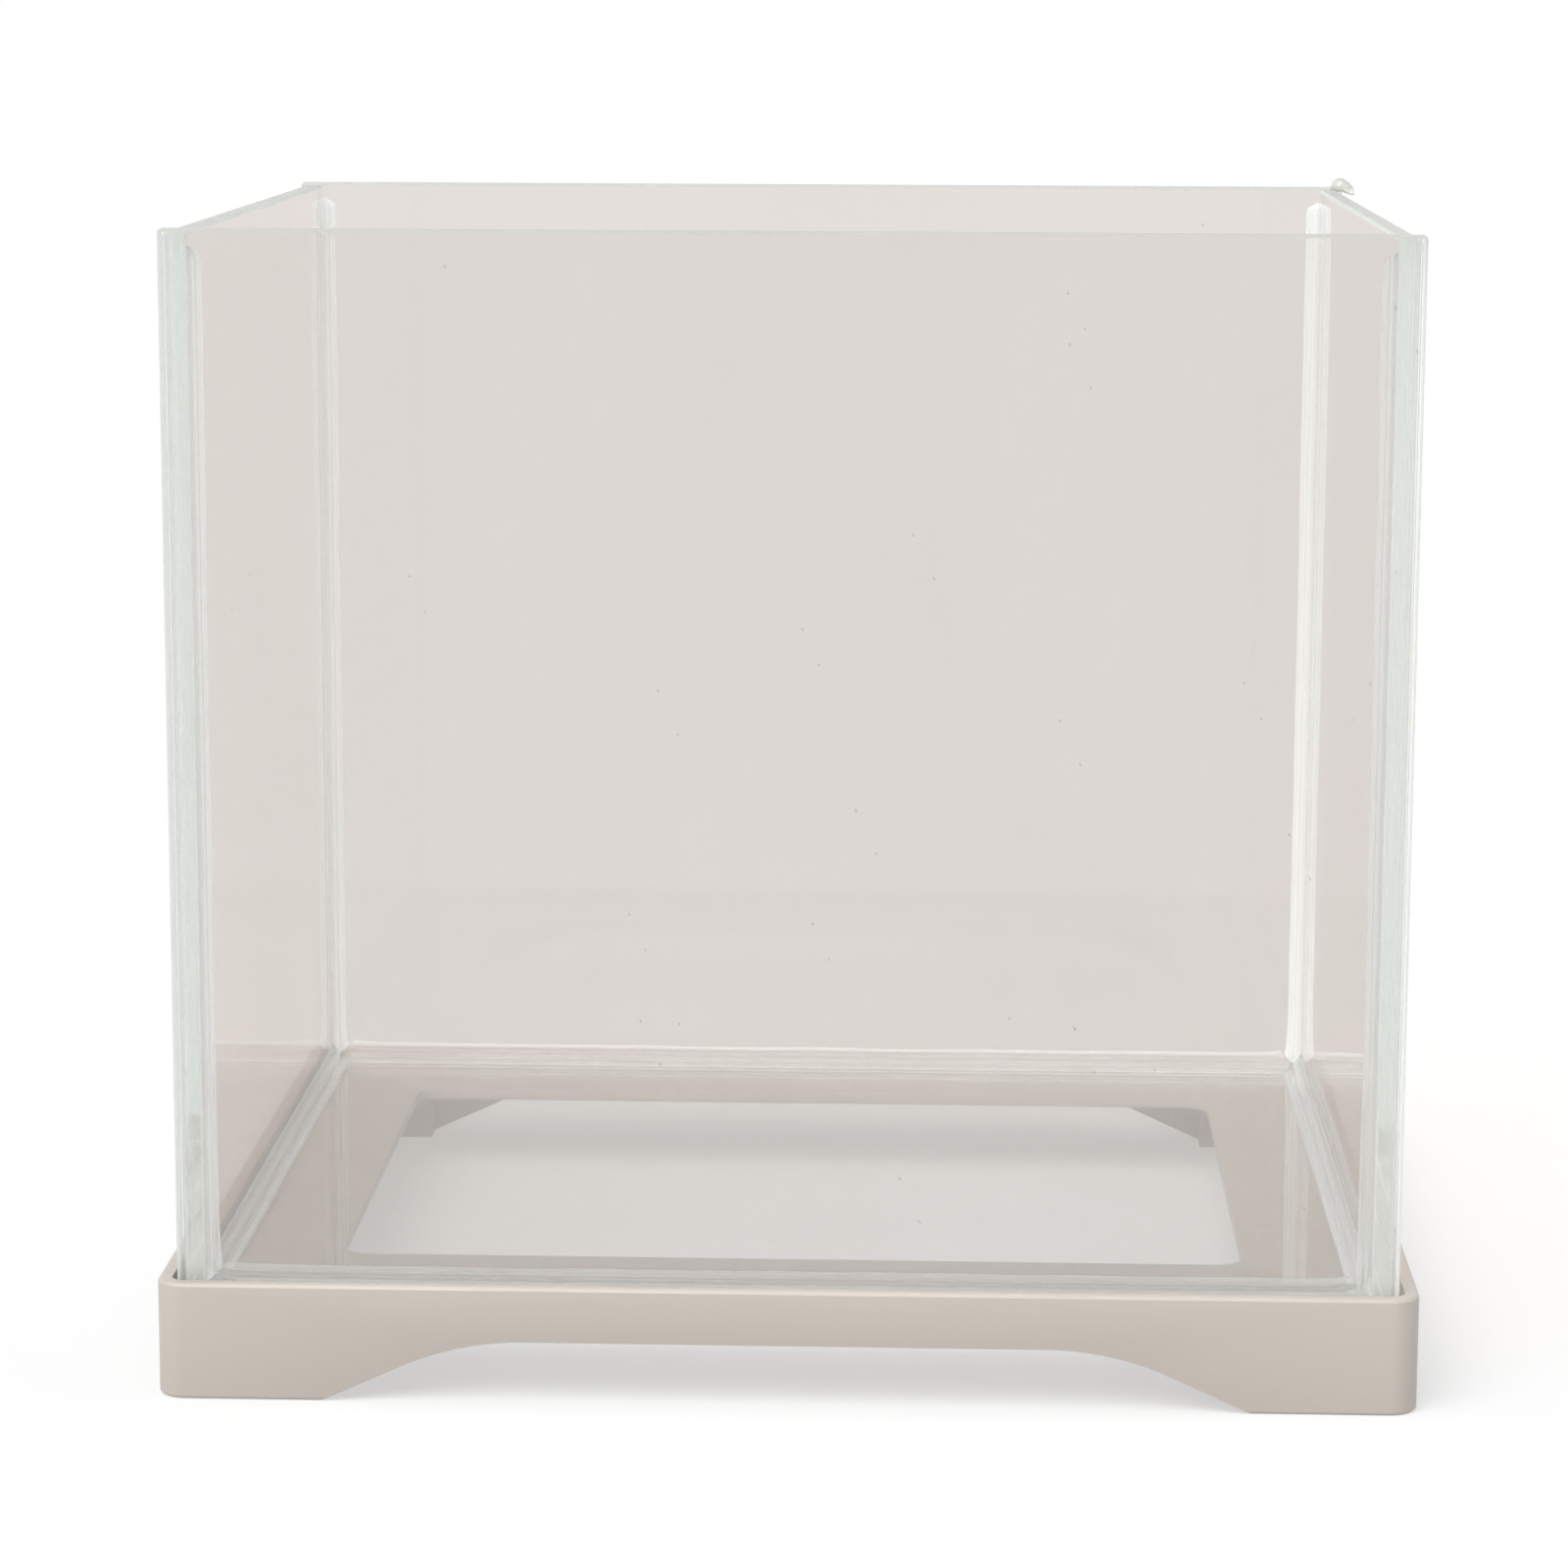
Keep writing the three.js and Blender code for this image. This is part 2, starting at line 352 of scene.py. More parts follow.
def wiping_marks(tree, place):
    """Haze that a cloth leaves: soft patches 40 mm wide, drawn out upwards."""
    stretched = add_node(tree, "ShaderNodeMapping", {"Vector": place, "Scale": (1.0, 1.0, 0.35)})
    smears = add_node(
        tree,
        "ShaderNodeTexNoise",
        {
            "Vector": stretched.outputs["Vector"],
            "Scale": 1 / (40 * MM),
            "Detail": 4.0,
            "Distortion": 0.8,
        },
    )
    return add_node(
        tree,
        "ShaderNodeMapRange",
        {
            "Value": smears.outputs["Fac"],
            "From Min": 0.45,
            "From Max": 0.8,
            "To Min": 0.0,
            "To Max": 0.02,
        },
    )


def dust_specks(tree, place):
    """Thin specks of up to 0.7 mm, one in half of the cells of 40 mm. The pattern lies on x + y and
    z + x - y, so that it is flat on every pane, whichever way the pane faces."""
    cell = 40 * MM
    radius = 0.22 * MM
    apart = add_node(tree, "ShaderNodeSeparateXYZ", {"Vector": place})
    x, y, z = (apart.outputs[axis] for axis in "XYZ")
    level = add_node(tree, "ShaderNodeMath", {0: x, 1: y}, operation="ADD")
    slope = add_node(tree, "ShaderNodeMath", {0: x, 1: y}, operation="SUBTRACT")
    rise = add_node(tree, "ShaderNodeMath", {0: z, 1: slope.outputs[0]}, operation="ADD")
    flat = add_node(tree, "ShaderNodeCombineXYZ", {"X": level.outputs[0], "Y": rise.outputs[0]})
    cells = add_node(
        tree,
        "ShaderNodeTexVoronoi",
        {"Vector": flat.outputs[0], "Scale": 1 / cell},
        voronoi_dimensions="2D",
    )
    near = add_node(
        tree,
        "ShaderNodeMath",
        {0: cells.outputs["Distance"], 1: radius / cell},
        operation="LESS_THAN",
    )
    which = add_node(tree, "ShaderNodeSeparateColor", {"Color": cells.outputs["Color"]})
    chosen = add_node(
        tree, "ShaderNodeMath", {0: which.outputs["Red"], 1: 0.5}, operation="LESS_THAN"
    )
    return add_node(
        tree, "ShaderNodeMath", {0: near.outputs[0], 1: chosen.outputs[0]}, operation="MULTIPLY"
    )


def float_glass(name, tint):
    """Low-iron float glass, polished by floating on tin, so it is smooth and clear with no grain.
    What gives it away is a faint grey of dust and wiping marks, and the odd dark speck."""
    material, tree, output = new_material(name)
    place = add_node(tree, "ShaderNodeTexCoord").outputs["Object"]
    body = add_node(
        tree,
        "ShaderNodeBsdfPrincipled",
        {
            "Base Color": (*tint, 1.0),
            "Roughness": 0.0,
            "IOR": 1.52,
            "Transmission Weight": 1.0,
        },
    )
    haze = wiping_marks(tree, place)
    speck = dust_specks(tree, place)
    # a speck hides 0.6 of the glass under it
    amount = add_node(
        tree,
        "ShaderNodeMath",
        {0: speck.outputs[0], 1: 0.6, 2: haze.outputs[0]},
        operation="MULTIPLY_ADD",
    )
    dust = add_node(tree, "ShaderNodeBsdfDiffuse", {"Color": linear("#a09c98")})
    seen = add_node(
        tree,
        "ShaderNodeMixShader",
        {"Fac": amount.outputs[0], 1: body.outputs[0], 2: dust.outputs[0]},
    )
    # a lamp's ray crosses both faces of a pane, so each face takes the root of the tint
    surface = lamps_pass(tree, seen, [math.sqrt(c) for c in tint])
    tree.links.new(surface.outputs[0], output.inputs["Surface"])
    return material


def ground_glass_edge():
    """The same glass where it was cut and rubbed down on a belt. That leaves it cloudy and finely
    uneven, so it shows as a soft grey-green line."""
    material, tree, output = new_material("ground_glass_edge")
    place = add_node(tree, "ShaderNodeTexCoord").outputs["Object"]
    # belt marks, 0.8 mm apart
    marks = add_node(
        tree, "ShaderNodeTexNoise", {"Vector": place, "Scale": 1 / (0.8 * MM), "Detail": 2.0}
    )
    rough = add_node(
        tree,
        "ShaderNodeMapRange",
        {
            "Value": marks.outputs["Fac"],
            "From Min": 0.3,
            "From Max": 0.7,
            "To Min": 0.04,
            "To Max": 0.22,
        },
    )
    bump = add_node(
        tree,
        "ShaderNodeBump",
        {"Height": marks.outputs["Fac"], "Strength": 0.25, "Distance": 0.05 * MM},
    )
    body = add_node(
        tree,
        "ShaderNodeBsdfPrincipled",
        {
            "Base Color": linear("#f4f7f4"),
            "Roughness": rough.outputs[0],
            "Normal": bump.outputs[0],
            "IOR": 1.52,
            "Transmission Weight": 1.0,
        },
    )
    # seven tenths of the surface is scratched dull, and the rest is still clear
    cloudy = linear("#c9cac6")
    lit = add_node(tree, "ShaderNodeBsdfDiffuse", {"Color": cloudy})
    through = add_node(tree, "ShaderNodeBsdfTranslucent", {"Color": cloudy})
    dull = add_node(
        tree, "ShaderNodeMixShader", {"Fac": 0.4, 1: lit.outputs[0], 2: through.outputs[0]}
    )
    seen = add_node(
        tree, "ShaderNodeMixShader", {"Fac": 0.7, 1: body.outputs[0], 2: dull.outputs[0]}
    )
    surface = lamps_pass(tree, seen, (0.75, 0.75, 0.75))
    tree.links.new(surface.outputs[0], output.inputs["Surface"])
    return material


def wetted_glass_edge():
    """The same edge where sealant has wetted it. The sealant fills the scratches, so that light
    runs on into the pane, and the long way through the glass leaves it a very pale green."""
    settings = bpy.context.scene.tank_glass
    material, tree, output = new_material("wetted_glass_edge")
    place = add_node(tree, "ShaderNodeTexCoord").outputs["Object"]
    # faint belt marks that the sealant doesn't quite hide, 1 mm apart
    marks = add_node(
        tree, "ShaderNodeTexNoise", {"Vector": place, "Scale": 1 / (1 * MM), "Detail": 2.0}
    )
    bump = add_node(
        tree,
        "ShaderNodeBump",
        {"Height": marks.outputs["Fac"], "Strength": 0.1, "Distance": 0.02 * MM},
    )
    body = add_node(
        tree,
        "ShaderNodeBsdfPrincipled",
        {
            "Base Color": (*settings.edge_tint, 1.0),
            "Roughness": 0.0,
            "Normal": bump.outputs[0],
            "IOR": 1.52,
            "Transmission Weight": 1.0,
        },
    )
    surface = lamps_pass(tree, body, (1.0, 1.0, 1.0))
    tree.links.new(surface.outputs[0], output.inputs["Surface"])
    return material


def frosted_arris():
    """The narrow ground bevel round the side panes and beside every upright or sealed edge. It is
    frosted white by the belt, and light from inside the pane makes it shine."""
    material, tree, output = new_material("frosted_glass_arris")
    place = add_node(tree, "ShaderNodeTexCoord").outputs["Object"]
    # belt marks, 0.8 mm apart
    marks = add_node(
        tree, "ShaderNodeTexNoise", {"Vector": place, "Scale": 1 / (0.8 * MM), "Detail": 2.0}
    )
    bump = add_node(
        tree,
        "ShaderNodeBump",
        {"Height": marks.outputs["Fac"], "Strength": 0.2, "Distance": 0.03 * MM},
    )
    white = linear("#eef2ee")
    lit = add_node(tree, "ShaderNodeBsdfDiffuse", {"Color": white, "Normal": bump.outputs[0]})
    through = add_node(tree, "ShaderNodeBsdfTranslucent", {"Color": white})
    frost = add_node(
        tree, "ShaderNodeMixShader", {"Fac": 0.5, 1: lit.outputs[0], 2: through.outputs[0]}
    )
    # three tenths of it is left clear
    missed = add_node(tree, "ShaderNodeBsdfTransparent")
    seen = add_node(
        tree, "ShaderNodeMixShader", {"Fac": 0.7, 1: missed.outputs[0], 2: frost.outputs[0]}
    )
    surface = lamps_pass(tree, seen, (0.85, 0.85, 0.85))
    tree.links.new(surface.outputs[0], output.inputs["Surface"])
    return material


def clear_silicone(name, low, high):
    """Clear acetoxy silicone sealant, gunned in and tooled with a wet finger. It cures to a
    whitish, cloudy rubber with streaks along the bead and small trapped bubbles. low and high are
    the shares of it that are cloudy between the streaks and in them."""
    settings = bpy.context.scene.tank_silicone
    material, tree, output = new_material(name)
    run = add_node(tree, "ShaderNodeUVMap", uv_map="bead").outputs["UV"]
    # streaks 0.7 mm wide and about 400 mm long, along the bead
    drawn = add_node(
        tree, "ShaderNodeMapping", {"Vector": run, "Scale": (1 / (0.7 * MM), 1 / (400 * MM), 1.0)}
    )
    streaks = add_node(
        tree,
        "ShaderNodeTexNoise",
        {"Vector": drawn.outputs["Vector"], "Scale": 1.0, "Detail": 1.0},
    )
    # bubbles 0.3 mm across, about one for each 3 mm of bead
    bubbles = add_node(tree, "ShaderNodeTexVoronoi", {"Vector": run, "Scale": 1 / (3 * MM)})
    bubble = add_node(
        tree,
        "ShaderNodeMapRange",
        {
            "Value": bubbles.outputs["Distance"],
            "From Min": 0.04,
            "From Max": 0.07,
            "To Min": 1.0,
            "To Max": 0.0,
        },
    )
    height = add_node(
        tree,
        "ShaderNodeMath",
        {0: streaks.outputs["Fac"], 1: bubble.outputs[0]},
        operation="ADD",
    )
    bump = add_node(
        tree,
        "ShaderNodeBump",
        {"Height": height.outputs[0], "Strength": 0.08, "Distance": 0.1 * MM},
    )
    # the clear part doesn't bend light, because a bead that does comes out dark against the glass
    open_part = add_node(
        tree, "ShaderNodeBsdfTransparent", {"Color": (*settings.clear_colour, 1.0)}
    )
    gloss = add_node(tree, "ShaderNodeBsdfGlossy", {"Roughness": 0.12, "Normal": bump.outputs[0]})
    mirror = add_node(tree, "ShaderNodeFresnel", {"IOR": 1.41, "Normal": bump.outputs[0]})
    clear = add_node(
        tree,
        "ShaderNodeMixShader",
        {"Fac": mirror.outputs[0], 1: open_part.outputs[0], 2: gloss.outputs[0]},
    )
    milk = (*settings.milky_colour, 1.0)
    lit = add_node(tree, "ShaderNodeBsdfDiffuse", {"Color": milk, "Normal": bump.outputs[0]})
    through = add_node(tree, "ShaderNodeBsdfTranslucent", {"Color": milk})
    milky = add_node(
        tree, "ShaderNodeMixShader", {"Fac": 0.5, 1: lit.outputs[0], 2: through.outputs[0]}
    )
    share = add_node(
        tree,
        "ShaderNodeMapRange",
        {
            "Value": streaks.outputs["Fac"],
            "From Min": 0.3,
            "From Max": 0.75,
            "To Min": low,
            "To Max": high,
        },
    )
    surface = add_node(
        tree,
        "ShaderNodeMixShader",
        {"Fac": share.outputs[0], 1: clear.outputs[0], 2: milky.outputs[0]},
    )
    tree.links.new(surface.outputs[0], output.inputs["Surface"])
    return material


def silicone_lump():
    """The same sealant where it stands thick in the open, off the glass. It is half glassy and half
    cloudy there, and greyer than a seam."""
    settings = bpy.context.scene.tank_silicone
    material, tree, output = new_material("silicone_lump")
    place = add_node(tree, "ShaderNodeTexCoord").outputs["Object"]
    # smoother and duller patches of its skin, 1.5 mm apart
    skin = add_node(
        tree, "ShaderNodeTexNoise", {"Vector": place, "Scale": 1 / (1.5 * MM), "Detail": 2.0}
    )
    rough = add_node(
        tree,
        "ShaderNodeMapRange",
        {
            "Value": skin.outputs["Fac"],
            "From Min": 0.3,
            "From Max": 0.7,
            "To Min": 0.12,
            "To Max": 0.3,
        },
    )
    body = add_node(
        tree,
        "ShaderNodeBsdfPrincipled",
        {
            "Base Color": (*settings.lump_colour, 1.0),
            "Roughness": rough.outputs[0],
            "IOR": 1.41,
            "Transmission Weight": 0.55,
        },
    )
    tree.links.new(body.outputs[0], output.inputs["Surface"])
    return material


def moulded_plastic():
    """Injection-moulded ABS from a tool with a fine spark-eroded skin, so it is satin, with a
    barely uneven colour and a few light scuffs."""
    settings = bpy.context.scene.tank_base
    material, tree, output = new_material("moulded_abs_satin")
    place = add_node(tree, "ShaderNodeTexCoord").outputs["Object"]
    # flow marks in the colour, 60 mm across and up to 4.5% darker
    flow = add_node(
        tree, "ShaderNodeTexNoise", {"Vector": place, "Scale": 1 / (60 * MM), "Detail": 3.0}
    )
    dark = [c * 0.955 for c in settings.colour]
    colour = add_node(
        tree,
        "ShaderNodeMix",
        {"Factor": flow.outputs["Fac"], "A": (*dark, 1.0), "B": (*settings.colour, 1.0)},
        data_type="RGBA",
    )
    # spark-eroded grain: really 0.1 mm, drawn 0.35 mm so that it shows
    grain = add_node(
        tree, "ShaderNodeTexNoise", {"Vector": place, "Scale": 1 / (0.35 * MM), "Detail": 2.0}
    )
    # scuffs, 3 mm apart and drawn out sideways
    sideways = add_node(tree, "ShaderNodeMapping", {"Vector": place, "Scale": (0.25, 1.0, 1.0)})
    scuffs = add_node(
        tree,
        "ShaderNodeTexNoise",
        {"Vector": sideways.outputs["Vector"], "Scale": 1 / (3 * MM), "Detail": 5.0},
    )
    rough = add_node(
        tree,
        "ShaderNodeMapRange",
        {
            "Value": scuffs.outputs["Fac"],
            "From Min": 0.35,
            "From Max": 0.7,
            "To Min": 0.36,
            "To Max": 0.5,
        },
    )
    bump = add_node(
        tree,
        "ShaderNodeBump",
        {"Height": grain.outputs["Fac"], "Strength": 0.18, "Distance": 0.03 * MM},
    )
    body = add_node(
        tree,
        "ShaderNodeBsdfPrincipled",
        {
            "Base Color": colour.outputs["Result"],
            "Roughness": rough.outputs[0],
            "Normal": bump.outputs[0],
            "IOR": 1.53,
        },
    )
    tree.links.new(body.outputs[0], output.inputs["Surface"])
    return material


def opal_floor():
    """Matt opal sheet over a light box, so it shines evenly and shadows on it stay pale. Its grey
    under the lamps and its own glow add up to white."""
    settings = bpy.context.scene.tank_stage
    material, tree, output = new_material("opal_light_table")
    place = add_node(tree, "ShaderNodeTexCoord").outputs["Object"]
    # the tooth of its matt face, 2 mm apart
    tooth = add_node(
        tree, "ShaderNodeTexNoise", {"Vector": place, "Scale": 1 / (2 * MM), "Detail": 2.0}
    )
    bump = add_node(
        tree,
        "ShaderNodeBump",
        {"Height": tooth.outputs["Fac"], "Strength": 0.03, "Distance": 0.02 * MM},
    )
    top = add_node(
        tree, "ShaderNodeBsdfDiffuse", {"Color": linear("#9b9b9b"), "Normal": bump.outputs[0]}
    )
    glow = add_node(
        tree, "ShaderNodeEmission", {"Color": (1, 1, 1, 1), "Strength": settings.table_glow}
    )
    both = add_node(tree, "ShaderNodeAddShader", {0: top.outputs[0], 1: glow.outputs[0]})
    tree.links.new(both.outputs[0], output.inputs["Surface"])
    return material


# ---- glass ----


def wander_edges(bm, low, high, thick, seed):
    """Move the ground edges of a pane in and out along their length, as a hand at a belt leaves
    them: in waves of 4 mm, with a chip here and there where waves of 2.5 mm peak."""
    settings = bpy.context.scene.tank_glass
    longs = [axis for axis in range(3) if axis != thick]
    middle = (low[thick] + high[thick]) / 2
    reach = settings.arris * 1.2  # the ground edge lies within this of the border
    chip_start = 0.35  # a chip opens where the short waves rise past this
    chip_growth = 3
    for vert in bm.verts:
        start = vert.co.copy()
        for axis, other in (longs, longs[::-1]):
            for side, border in ((1, low[axis]), (-1, high[axis])):
                gap = abs(start[axis] - border)
                if gap > reach:
                    continue
                wander = ripple(start[other], seed + side + 3 * axis, 4 * MM)
                peak = ripple(start[other], seed + side * 2 + 5 * axis, 2.5 * MM)
                chip = max(0.0, peak - chip_start) * chip_growth
                inward = settings.nibble * (0.5 + 0.5 * wander + chip)
                # a point on the face moves along it, and one on the edge through the thickness
                if gap > TOUCH:
                    vert.co[axis] += side * inward
                else:
                    vert.co[thick] += math.copysign(0.5 * inward, middle - start[thick])


def pane_finish(normal, thick, wetted):
    """Which finish a face of a pane has, from the way it faces."""
    turned = [abs(value) for value in normal]
    if turned[thick] > 0.999:
        return POLISHED
    in_sealant = any(turned[axis] > 0.5 for axis in wetted)
    is_bevel = turned[thick] > 0.3
    is_upright = turned[2] < 0.1
    is_side_pane = thick == 0
    if is_bevel and (is_upright or in_sealant or is_side_pane):
        return FROSTED
    return WETTED if in_sealant else GROUND


def ground_pane(node, seed, materials):
    """One pane with its edges ground off by hand, so the narrow bevel wanders a little."""
    settings = bpy.context.scene.tank_glass
    low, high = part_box(node)
    low.z += settings.stand_off
    thick = min(range(3), key=lambda axis: high[axis] - low[axis])
    bm = bmesh.new()
    block_between(bm, low, high)
    for axis in range(3):
        if axis != thick:
            cut_along(bm, axis, low[axis], high[axis], settings.edge_step)
    corners = [e for e in bm.edges if e.calc_face_angle(0.0) > math.radians(60)]
    bmesh.ops.bevel(
        bm, geom=corners, offset=settings.arris, segments=1, profile=0.5, affect="EDGES", material=-1
    )
    wander_edges(bm, low, high, thick, seed)
    join_flat_faces(bm, math.radians(0.02))
    bm.normal_update()
    for face in bm.faces:
        face.material_index = pane_finish(face.normal, thick, WETTED_AXES.get(node, ()))
    pane = finished(bm, node + "_glass", materials)
    place_piece(pane, "tank", "pane_glass", node)
    return pane


# ---- silicone ----


def bead_outline(legs):
    """The section of a bead: two legs against the glass, and between them a face that the finger
    leaves hollow, with faint ridges."""
    clear = bpy.context.scene.tank_silicone.stand_off
    steps = 14  # across the face
    hollow = 0.32  # the face is a curve pulled to this share of the legs: 0.5 would be straight
    ridge = 0.035  # height of the ridges, as a share of the legs
    outline = [(clear, clear), (legs[0], clear)]
    for i in range(1, steps):
        t = i / steps
        bend = 2 * t * (1 - t) * hollow + ridge * math.sin(5 * math.pi * t)
        outline.append((legs[0] * ((1 - t) ** 2 + bend), legs[1] * (t**2 + bend)))
    outline.append((clear, legs[1]))
    return outline


def mitre(part, place, outward, legs):
    """Cut the end of a bead to a point, at 45 degrees to each of its legs."""
    for leg in legs:
        whole = part.verts[:] + part.edges[:] + part.faces[:]
        normal = (outward + leg).normalized()
        kept = bmesh.ops.bisect_plane(
            part, geom=whole, dist=TOUCH, plane_co=place, plane_no=normal, clear_outer=True
        )
        rim = [item for item in kept["geom_cut"] if isinstance(item, bmesh.types.BMEdge)]
        bmesh.ops.edgeloop_fill(part, edges=rim)


def bead_along(bm, corner, across, up, length, legs, shape, mitred=(False, False)):
    """A bead of sealant in the inside corner of two faces.

    It starts at corner, its legs lie along the unit vectors across and up, and it runs along
    their cross product. shape(s) gives how far each leg is scaled at a distance s along it. A
    mitred end meets the two other beads of a corner, and stops a hair short of them.
    """
    settings = bpy.context.scene.tank_silicone
    along = across.cross(up)
    part = bmesh.new()
    outline = bead_outline(legs)
    start = part.faces.new([part.verts.new(corner + across * u + up * v) for u, v in outline])
    made = bmesh.ops.extrude_face_region(part, geom=[start])["geom"]
    moved = [v for v in made if isinstance(v, bmesh.types.BMVert)]
    bmesh.ops.translate(part, vec=along * length, verts=moved)
    axis = max(range(3), key=lambda i: abs(along[i]))
    far = corner + along * length
    near_end, far_end = sorted((corner[axis], far[axis]))
    cut_along(part, axis, near_end, far_end, settings.ring_step)
    for vert in part.verts:
        rel = vert.co - corner
        s, u, v = rel.dot(along), rel.dot(across), rel.dot(up)
        scale_u, scale_v = shape(s)
        grown_u = u * scale_u if u > 0 else u
        grown_v = v * scale_v if v > 0 else v
        vert.co = corner + along * s + across * grown_u + up * grown_v
    hair = along * settings.stand_off
    if mitred[0]:
        mitre(part, corner + hair, -along, (across, up))
    if mitred[1]:
        mitre(part, far - hair, along, (across, up))
    uv = part.loops.layers.uv.new("bead")
    for face in part.faces:
        for loop in face.loops:
            rel = loop.vert.co - corner
            loop[uv].uv = (rel.dot(across) - rel.dot(up), rel.dot(along))
    add_part(bm, part)


def bead_shape(length, seed, flared, rounded):
    """How a bead's two legs swell and taper along it. flared and rounded say whether its start and
    its end swell into a corner, or taper off."""
    settings = bpy.context.scene.tank_silicone
    flare_length = 3.5 * MM
    round_length = 2 * MM
    least = 0.02  # a tapered end keeps this share of its section, so that it stays closed

    def shape(s):
        to_ends = (s, length - s)
        grow = 1.0
        for is_flared, left in zip(flared, to_ends):
            if is_flared:
                grow += settings.flare * math.exp(-left / flare_length)
        fall = 1.0
        for is_rounded, left in zip(rounded, to_ends):
            if is_rounded and left < round_length:
                fall *= math.sqrt(max(least, 1 - (1 - left / round_length) ** 2))
        # each leg wanders in long waves of 22 mm, and less in short ones of 4 mm
        scales = []
        for row in (seed, seed + 40):
            wave = ripple(s, row, 22 * MM) + 0.3 * ripple(s, row + 5, 4 * MM)
            scales.append(grow * fall * (1 + settings.waviness * wave))
        return scales

    return shape


def outward_signs(low, high):
    """On which side of the middle a piece lies, along x and along y."""
    return math.copysign(1.0, (low.x + high.x) / 2), math.copysign(1.0, (low.y + high.y) / 2)


def seal_bead(node, seed, material):
    """One tooled bead, made to the place and legs of its CAD node."""
    low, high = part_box(node)
    size = high - low
    floor_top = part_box("bottom_pane")[1].z
    run = max(range(3), key=lambda axis: size[axis])
    sign_x, sign_y = outward_signs(low, high)
    x_wall = low.x if sign_x < 0 else high.x
    y_wall = low.y if sign_y < 0 else high.y
    if run == 2:
        # an upright bead: flared and mitred at the floor, rounded at the top
        across, up = Vector((-sign_x, 0, 0)), Vector((0, -sign_y, 0))
        upward = across.cross(up).z > 0
        corner = Vector((x_wall, y_wall, floor_top if upward else high.z))
        length = high.z - floor_top
        at_floor = (upward, not upward)
        at_top = (not upward, upward)
        shape = bead_shape(length, seed, flared=at_floor, rounded=at_top)
        mitred = at_floor
        legs = (size.x, size.y)
    else:
        # a bead round the floor: flared and mitred at both ends
        across = Vector((0, -sign_y, 0)) if run == 0 else Vector((-sign_x, 0, 0))
        up = Vector((0, 0, 1))
        wall_low, wall_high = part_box("bead_floor_front")[0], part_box("bead_floor_rear")[1]
        length = wall_high[run] - wall_low[run]
        corner = Vector((x_wall, y_wall, low.z))
        corner[run] = wall_low[run] if across.cross(up)[run] > 0 else wall_high[run]
        mitred = (True, True)
        shape = bead_shape(length, seed, flared=mitred, rounded=(False, False))
        legs = (size[1 - run], size.z)
    bm = bmesh.new()
    bead_along(bm, corner, across, up, length, legs, shape, mitred)
    bead = finished(bm, node + "_sealant", [material], SEALANT_SMOOTH)
    bead.visible_shadow = False
    place_piece(bead, "tank", "clear_silicone", node)
    return bead


def film_uv(bm):
    """Lay the bead map over a film, so that the sealant's pattern has a direction."""
    uv = bm.loops.layers.uv.new("bead")
    for face in bm.faces:
        for loop in face.loops:
            loop[uv].uv = (loop.vert.co.x + loop.vert.co.y, loop.vert.co.z)


def squeezed_out(bm, low, high, seed):
    """The sealant that an upright film lets out behind the pane that stands past it."""
    sign_x, sign_y = outward_signs(low, high)
    across, up = Vector((sign_x, 0, 0)), Vector((0, -sign_y, 0))
    upward = across.cross(up).z > 0
    outer = low.x if sign_x < 0 else high.x
    wall = low.y if sign_y < 0 else high.y
    corner = Vector((outer, wall, low.z if upward else high.z))
    length = high.z - low.z
    shape = bead_shape(length, seed, flared=(False, False), rounded=(True, True))
    leg = bpy.context.scene.tank_silicone.squeeze_out
    bead_along(bm, corner, across, up, length, (leg, leg), shape)


def bond_film(node, seed, materials):
    """The thin film that bonds two panes. An upright one is also squeezed out a little behind
    the pane that stands past it."""
    settings = bpy.context.scene.tank_silicone
    low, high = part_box(node)
    if node == "bond_rear_right":
        # its own box takes in the run-out, so the film itself mirrors the one on the left
        twin_low, twin_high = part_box("bond_rear_left")
        low = Vector((-twin_high.x, twin_low.y, twin_low.z))
        high = Vector((-twin_low.x, twin_high.y, twin_high.z))
    low.z += bpy.context.scene.tank_glass.stand_off
    thin = min(range(3), key=lambda axis: high[axis] - low[axis])
    gap = axis_vector(thin, settings.stand_off)
    bm = bmesh.new()
    block_between(bm, low + gap, high - gap)
    cut_along(bm, 2, low.z, high.z, ROW_HEIGHT)
    film_uv(bm)
    is_upright = high.z - low.z > 0.5 * (CAD_BOX[1].z - CAD_BOX[0].z)
    if is_upright:
        squeezed_out(bm, low, high, seed + 60)
    if node == "bond_rear_right":
        run_out(bm, seed)
    film = finished(bm, node + "_sealant", materials, SEALANT_SMOOTH)
    film.visible_shadow = False
    place_piece(film, "tank", "clear_silicone", node)
    return film


def run_out(bm, seed):
    """The overfilled end of the rear right film: a soft lump that lies on top of the corner and
    sags over its end."""
    settings = bpy.context.scene.tank_silicone
    half_width = 1.8 * MM
    swelling = 0.1  # how uneven its surface is
    flattened = 0.45  # how deep it reaches below the rim, as a share of its height
    sag = 0.45  # how far it drops for each step past the end of the rim
    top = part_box("bond_rear_right")[1]
    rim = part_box("rear_pane")[1]
    film_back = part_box("bond_rear_left")[1].y
    half = Vector((settings.run_out_length / 2, half_width, top.z - rim.z))
    middle = Vector((top.x - half.x, film_back, rim.z))
    part = bmesh.new()
    bmesh.ops.create_icosphere(part, subdivisions=5, radius=1.0)
    for vert in part.verts:
        direction = vert.co.copy()
        swell = 1 + swelling * noise.noise(direction * 1.6 + Vector((seed, 0, 0)))
        under = flattened if direction.z < 0 else 1.0
        reach = (direction.x * half.x, direction.y * half.y, direction.z * half.z * under)
        vert.co = Vector(reach) * swell
        vert.co += middle
        past = vert.co.x - rim.x
        if past > 0:
            vert.co.z -= sag * past
    film_uv(part)
    for face in part.faces:
        face.material_index = RUN_OUT
    add_part(bm, part)


